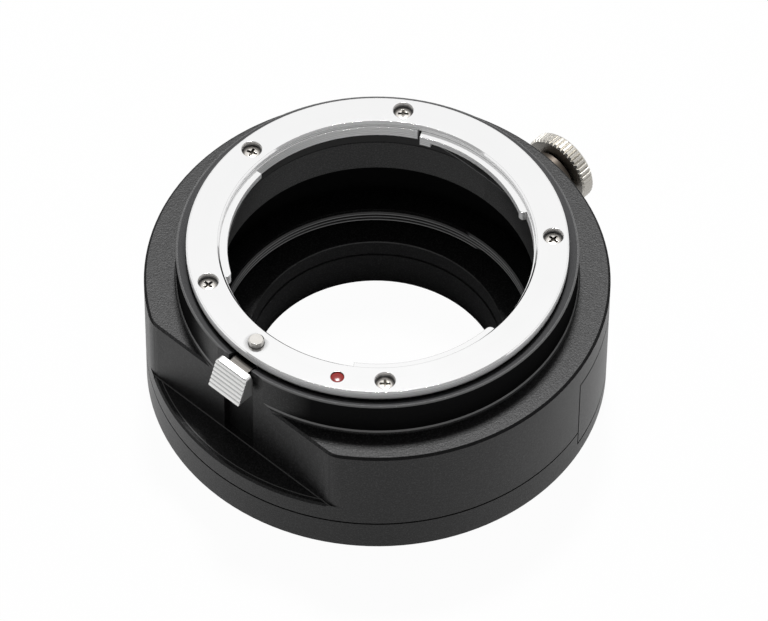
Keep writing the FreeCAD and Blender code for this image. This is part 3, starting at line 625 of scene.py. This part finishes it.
def lit_floor(name, colours, white, gloss):
    """Pale floor that shows plain white and keeps the object's shadow."""
    material, field = blank_material(name)
    camera, glossy, clear = light_path(field)
    seen = (camera.most(clear) * white).most(glossy * gloss)
    matt = field.node("ShaderNodeBsdfDiffuse", {}, {"Color": rgba(colours.floor)})
    glow = field.node("ShaderNodeEmission", {}, {"Color": WHITE, "Strength": 1.0})
    shader = field.node("ShaderNodeMixShader", {}, {0: seen, 1: matt, 2: glow})
    field.node("ShaderNodeOutputMaterial", {}, {"Surface": shader})
    return material


def aimed(azimuth, elevation):
    """Direction from the object to a place round it, and the turn that looks from there at the object."""
    back = Vector((math.sin(azimuth) * math.cos(elevation), -math.cos(azimuth) * math.cos(elevation),
                   math.sin(elevation)))
    right = Vector((0.0, 0.0, 1.0)).cross(back).normalized()
    return back, Matrix((right, back.cross(right), back)).transposed()


def give_finish(material, *names):
    """Puts one finish on CAD nodes."""
    for name in names:
        for slot in NODES[name].material_slots:
            slot.material = material


def settings():
    """Settings of the scene at hand."""
    return bpy.context.scene.filter_drawer


def sharpen(bm, limit=35.0):
    """Smooth shading, with hard edges where faces meet at more than a limit in degrees."""
    for face in bm.faces:
        face.smooth = True
    for edge in bm.edges:
        edge.smooth = len(edge.link_faces) == 2 and edge.calc_face_angle(0.0) < math.radians(limit)


def object_from(name, bm, *materials):
    """Object from a bmesh, put into the scene."""
    mesh = bpy.data.meshes.new(name)
    bm.to_mesh(mesh)
    bm.free()
    for material in materials:
        mesh.materials.append(material)
    made = bpy.data.objects.new(name, mesh)
    bpy.context.scene.collection.objects.link(made)
    return made


def new_piece(name, bm, material, body):
    """Object from a bmesh, riding on a body and taking the finish of a slot."""
    piece = object_from(name, bm, material)
    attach(piece, body)
    return piece


def chain(bm, points):
    """Open line of edges through points of radius and height in the XZ plane."""
    verts = [bm.verts.new((radius, 0.0, height)) for radius, height in points]
    return verts, [bm.edges.new(pair) for pair in zip(verts, verts[1:])]


def spin_round(bm, points, steps):
    """Closed turned shape from a line that starts and ends on the axis."""
    verts, edges = chain(bm, points)
    bmesh.ops.spin(bm, geom=verts + edges, cent=(0.0, 0.0, 0.0), axis=(0.0, 0.0, 1.0), angle=math.tau,
                   steps=steps, use_merge=True)
    bmesh.ops.remove_doubles(bm, verts=bm.verts, dist=MERGE_DISTANCE)
    bmesh.ops.recalc_face_normals(bm, faces=bm.faces)


def helical_ridge(radius, low, turns, thread):
    """Ridge of a thread on the inside of a round wall, running out into the wall at both ends."""
    bm = bmesh.new()
    half_foot = thread.foot * thread.pitch / 2
    half_crest = thread.crest * thread.pitch / 2
    wall = radius + thread.sink
    top = radius - thread.height
    corners = [(wall, low - half_foot), (top, low - half_crest),
               (top, low + half_crest), (wall, low + half_foot)]
    verts = [bm.verts.new((distance, 0.0, height)) for distance, height in corners]
    face = bm.faces.new(verts)
    steps = round(thread.steps * turns)
    made = bmesh.ops.spin(bm, geom=[face, *face.edges, *verts], cent=(0.0, 0.0, 0.0), axis=(0.0, 0.0, 1.0),
                          dvec=(0.0, 0.0, thread.pitch / thread.steps), angle=math.tau * turns, steps=steps)
    ends = verts + [item for item in made["geom_last"] if isinstance(item, bmesh.types.BMVert)]
    for vert in ends:
        flat = Vector((vert.co.x, vert.co.y, 0.0))
        vert.co += flat.normalized() * (wall - flat.length)
    bmesh.ops.holes_fill(bm, edges=[edge for edge in bm.edges if edge.is_boundary])
    bmesh.ops.recalc_face_normals(bm, faces=bm.faces)
    sharpen(bm, 25.0)
    return bm


def cross_cutter(screw, top):
    """Two tapered bars that cut the cross of a screw."""
    bm = bmesh.new()
    for turn in (0.0, math.pi / 2):
        made = bmesh.ops.create_cube(bm, size=1.0)["verts"]
        bmesh.ops.scale(bm, vec=(screw.cross_length, screw.cross_width, screw.cross_depth * 2), verts=made)
        lower = [vert for vert in made if vert.co.z < 0]
        bmesh.ops.scale(bm, vec=(screw.cross_taper, screw.cross_taper, 0.5), verts=lower)
        bmesh.ops.translate(bm, vec=(0.0, 0.0, top - screw.cross_depth * 0.5), verts=made)
        bmesh.ops.rotate(bm, cent=(0.0, 0.0, 0.0), matrix=Matrix.Rotation(turn, 3, "Z"), verts=made)
    return object_from("cross_cutter", bm)


def screw_mesh(screw, seat, bottom):
    """Domed cross-head screw on the axis, with its head's seat at one height and its end at another."""
    bm = bmesh.new()
    rim = seat + screw.edge
    top = rim + screw.dome
    parts = [step / SCREW_DOME_STEPS for step in range(SCREW_DOME_STEPS + 1)]
    dome = [(screw.head * part, rim + screw.dome * (1.0 - part ** 4)) for part in parts]
    stem = [(0.0, bottom), (screw.shank, bottom), (screw.shank, seat), (screw.head, seat)]
    spin_round(bm, stem + dome[::-1], screw.steps)
    blank = object_from("screw_blank", bm)
    cutter = cross_cutter(screw, top)
    cut = blank.modifiers.new("cross", "BOOLEAN")
    cut.operation = "DIFFERENCE"
    cut.solver = "EXACT"
    cut.use_self = True
    cut.object = cutter
    depsgraph = bpy.context.evaluated_depsgraph_get()
    shape = bmesh.new()
    shape.from_mesh(blank.evaluated_get(depsgraph).data)
    bpy.data.objects.remove(blank)
    bpy.data.objects.remove(cutter)
    if not shape.faces:
        raise RuntimeError("the screw's cross could not be cut")
    sharpen(shape)
    return shape


class FILTERDRAWER_OT_shell(bpy.types.Operator):
    """Finish of the body, the base plate with its screws and the backing ring"""

    bl_idname = "filter_drawer.shell"
    bl_label = "Body and base plate"

    def execute(self, context):
        colours = settings().colours
        give_finish(anodised_black("anodised_body", colours, body=1.0), "main_body", "base_plate")
        give_finish(black_lacquer("black_lacquer", colours.lacquer), "backing_ring")
        give_finish(blackened_steel("blackened_screws", colours.black_steel), "base_screws")
        return {"FINISHED"}


class FILTERDRAWER_OT_drawer(bpy.types.Operator):
    """Finish of the drawer and the filter thread in its well"""

    bl_idname = "filter_drawer.drawer"
    bl_label = "Drawer and filter thread"

    def execute(self, context):
        thread = settings().thread
        colours = settings().colours
        give_finish(anodised_black("anodised_drawer", colours, body=0.0), "filter_drawer")
        low = WELL_MIDDLE - WELL_LENGTH / 2 + thread.pitch * thread.foot * THREAD_MARGIN
        turns = WELL_LENGTH / thread.pitch - thread.foot * 2 * THREAD_MARGIN
        bm = helical_ridge(WELL_RADIUS, low, turns, thread)
        machined = machined_black("machined_thread", colours, WELL_RADIUS - thread.height)
        new_piece("filter_thread_ridge", bm, machined, "drawer")
        return {"FINISHED"}


class FILTERDRAWER_OT_ring(bpy.types.Operator):
    """Finish of the bayonet ring and its leaf springs, and the domed index dot"""

    bl_idname = "filter_drawer.ring"
    bl_label = "Bayonet ring"

    def execute(self, context):
        colours = settings().colours
        give_finish(satin_chrome("satin_chrome", colours), "bayonet_ring")
        give_finish(blackened_steel("blackened_springs", colours.spring),
                    "leaf_spring_1", "leaf_spring_2", "leaf_spring_3")
        middle = (DOT_LOW + DOT_HIGH) / 2
        radius = (DOT_HIGH.x - DOT_LOW.x) / 2
        base = DOT_LOW.z
        crown = DOT_HIGH.z - DOT_RISE * DOT_SHOULDER
        tilts = [math.pi / 2 * step / DOT_DOME_STEPS for step in range(DOT_DOME_STEPS + 1)]
        dome = [(radius * math.sin(tilt), crown + DOT_RISE * math.cos(tilt)) for tilt in tilts]
        bm = bmesh.new()
        spin_round(bm, [(0.0, base), (radius, base)] + dome[::-1], DOT_STEPS)
        bmesh.ops.translate(bm, vec=(middle.x, middle.y, 0.0), verts=bm.verts)
        sharpen(bm)
        dot = new_piece("enamel_dot", bm, red_enamel("red_enamel", colours.enamel), "housing")
        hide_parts("index_dot")
        return {"FINISHED"}


class FILTERDRAWER_OT_ring_screws(bpy.types.Operator):
    """Five domed cross-head screws of the bayonet ring"""

    bl_idname = "filter_drawer.ring_screws"
    bl_label = "Ring screws"

    def execute(self, context):
        screw = settings().screw
        material = bright_steel("bright_steel", settings().colours.steel, wear=0.2)
        shape = screw_mesh(screw, SCREWS_HIGH.z - SCREW_HEAD_HEIGHT, SCREWS_LOW.z)
        for number, (position, turn) in enumerate(RING_SCREWS, 1):
            bm = shape.copy()
            spot = Matrix.Rotation(math.radians(position), 4, "Z") @ Vector((screw.circle, 0.0, 0.0))
            bmesh.ops.rotate(bm, cent=(0.0, 0.0, 0.0), matrix=Matrix.Rotation(math.radians(turn), 3, "Z"),
                             verts=bm.verts)
            bmesh.ops.translate(bm, vec=spot, verts=bm.verts)
            piece = new_piece(f"ring_screw_{number}", bm, material, "housing")
            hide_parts("bayonet_screws")
        shape.free()
        return {"FINISHED"}


class FILTERDRAWER_OT_lock_screw(bpy.types.Operator):
    """Finish of the thumbscrew, its collar and its clip"""

    bl_idname = "filter_drawer.lock_screw"
    bl_label = "Thumbscrew"

    def execute(self, context):
        colours = settings().colours
        low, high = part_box("thumbscrew")
        middle = (low.z + high.z) / 2
        nickel = turned_metal("turned_nickel", colours.nickel, rough=0.28, middle=middle)
        dark = turned_metal("dark_collar", colours.collar, rough=0.30, middle=middle)
        give_finish(nickel, "thumbscrew")
        give_finish(dark, "thumbscrew_collar")
        give_finish(bright_steel("clip_steel", colours.steel, wear=0.2), "thumbscrew_clip")
        return {"FINISHED"}


class FILTERDRAWER_OT_release(bpy.types.Operator):
    """Finish of the release tab, its arm and the lock pin, and the coil spring that they press"""

    bl_idname = "filter_drawer.release"
    bl_label = "Release"

    def execute(self, context):
        colours = settings().colours
        give_finish(satin_silver("satin_silver", colours.silver), "release_tab")
        give_finish(satin_silver("arm_steel", colours.arm), "release_arm")
        give_finish(bright_steel("ground_pin", colours.pin, wear=0.6), "lock_pin")
        steel = bright_steel("small_steel", colours.steel, wear=0.2)
        give_finish(steel, "tab_rivet", "pin_washer")
        bm = bmesh.new()
        bm.from_mesh(NODES["lock_spring"].data)
        bmesh.ops.remove_doubles(bm, verts=bm.verts, dist=MERGE_DISTANCE)
        sharpen(bm)
        coil = new_piece("coil_spring", bm, steel, "housing")
        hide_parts("lock_spring")
        1.0 - RELEASE_TRAVEL / (SPRING_HIGH.z - SPRING_LOW.z)
        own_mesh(coil)
        return {"FINISHED"}


class FILTERDRAWER_OT_stage(bpy.types.Operator):
    """Floor, white surroundings, soft lamp, grey card and the camera"""

    bl_idname = "filter_drawer.stage"
    bl_label = "Stage"

    def execute(self, context):
        stage = settings().stage
        scene = context.scene
        scene.view_settings.view_transform = "Standard"
        self.floor(stage, settings().colours)
        self.surroundings(scene, stage)
        self.lamp(scene, stage)
        self.card(stage)
        self.camera(scene, stage)
        return {"FINISHED"}

    def floor(self, stage, colours):
        """Pale floor below the object."""
        bm = bmesh.new()
        bmesh.ops.create_grid(bm, x_segments=1, y_segments=1, size=stage.floor_size / 2)
        bmesh.ops.translate(bm, vec=(0.0, 0.0, CAD_BOX[0].z), verts=bm.verts)
        material = lit_floor("pale_floor", colours, stage.floor_white, stage.floor_gloss)
        floor = object_from("floor", bm, material)

    def surroundings(self, scene, stage):
        """Weak light from all round, which the camera and reflections see as white."""
        world = bpy.data.worlds.new("studio")
        world.use_nodes = True
        world.node_tree.nodes.clear()
        scene.world = world
        field = Field(world.node_tree)
        camera, glossy, clear = light_path(field)
        seen = camera.most(glossy).most(clear)
        soft = field.node("ShaderNodeBackground", {}, {"Color": WHITE, "Strength": stage.ambient})
        white = field.node("ShaderNodeBackground", {}, {"Color": WHITE, "Strength": 1.0})
        shader = field.node("ShaderNodeMixShader", {}, {0: seen, 1: soft, 2: white})
        field.node("ShaderNodeOutputWorld", {}, {"Surface": shader})

    def lamp(self, scene, stage):
        """Soft round lamp behind the object."""
        light = bpy.data.lights.new("studio_lamp", "AREA")
        light.shape = "DISK"
        light.size = stage.lamp_size
        light.energy = stage.lamp_power
        lamp = bpy.data.objects.new("studio_lamp", light)
        back, turned = aimed(stage.lamp_azimuth, stage.lamp_elevation)
        lamp.matrix_world = Matrix.Translation(back * stage.lamp_distance) @ turned.to_4x4()
        scene.collection.objects.link(lamp)

    def card(self, stage):
        """Curved grey card before the object that only reflections see."""
        bm = bmesh.new()
        bmesh.ops.create_grid(bm, x_segments=16, y_segments=8, size=1.0)
        for vert in bm.verts:
            azimuth = stage.camera_azimuth + vert.co.x * stage.card_half
            rise = stage.card_high - stage.card_low
            elevation = (stage.card_low + stage.card_high + vert.co.y * rise) / 2
            vert.co = aimed(azimuth, elevation)[0] * stage.card_distance
        material, field = blank_material("grey_card")
        glow = field.node("ShaderNodeEmission", {}, {"Color": WHITE, "Strength": stage.card_tone})
        field.node("ShaderNodeOutputMaterial", {}, {"Surface": glow})
        card = object_from("grey_card", bm, material)
        card.visible_camera = False
        card.visible_diffuse = False
        card.visible_transmission = False
        card.visible_shadow = False

    def camera(self, scene, stage):
        """Camera at the photograph's viewing angle."""
        back, turned = aimed(stage.camera_azimuth, stage.camera_elevation)
        turned = turned @ Matrix.Rotation(stage.camera_roll, 3, "Z")
        data = bpy.data.cameras.new("photo_camera")
        data.sensor_fit = "HORIZONTAL"
        data.sensor_width = 36.0
        data.lens = stage.focal_length
        data.clip_end = 20.0
        camera = bpy.data.objects.new("photo_camera", data)
        target = Vector(stage.camera_target)
        camera.matrix_world = Matrix.Translation(target + back * stage.camera_distance) @ turned.to_4x4()
        scene.collection.objects.link(camera)
        scene.camera = camera


OPERATORS = (
    FILTERDRAWER_OT_shell,
    FILTERDRAWER_OT_drawer,
    FILTERDRAWER_OT_ring,
    FILTERDRAWER_OT_ring_screws,
    FILTERDRAWER_OT_lock_screw,
    FILTERDRAWER_OT_release,
    FILTERDRAWER_OT_stage,
)


class FILTERDRAWER_PT_panel(bpy.types.Panel):
    """Lists the operators and settings of the filter drawer"""

    bl_idname = "FILTERDRAWER_PT_panel"
    bl_label = "Filter drawer"
    bl_space_type = "VIEW_3D"
    bl_region_type = "UI"
    bl_category = "Filter drawer"

    def draw(self, context):
        for operator in OPERATORS:
            self.layout.operator(operator.bl_idname)
        for name in ("colours", "thread", "screw", "stage"):
            group = getattr(settings(), name)
            box = self.layout.box()
            for item in group.__annotations__:
                box.prop(group, item)


CLASSES = (FinishColours, ThreadSizes, ScrewSizes, StageSizes, FilterDrawerSettings, *OPERATORS,
           FILTERDRAWER_PT_panel)


def register():
    for item in CLASSES:
        bpy.utils.register_class(item)
    bpy.types.Scene.filter_drawer = PointerProperty(type=FilterDrawerSettings, name="Filter drawer",
                                                    description="Settings of the filter drawer")


def unregister():
    del bpy.types.Scene.filter_drawer
    for item in reversed(CLASSES):
        bpy.utils.unregister_class(item)


def main():
    register()
    for operator in OPERATORS:
        group, name = operator.bl_idname.split(".")
        getattr(getattr(bpy.ops, group), name)()


if __name__ == "__main__":
    main()
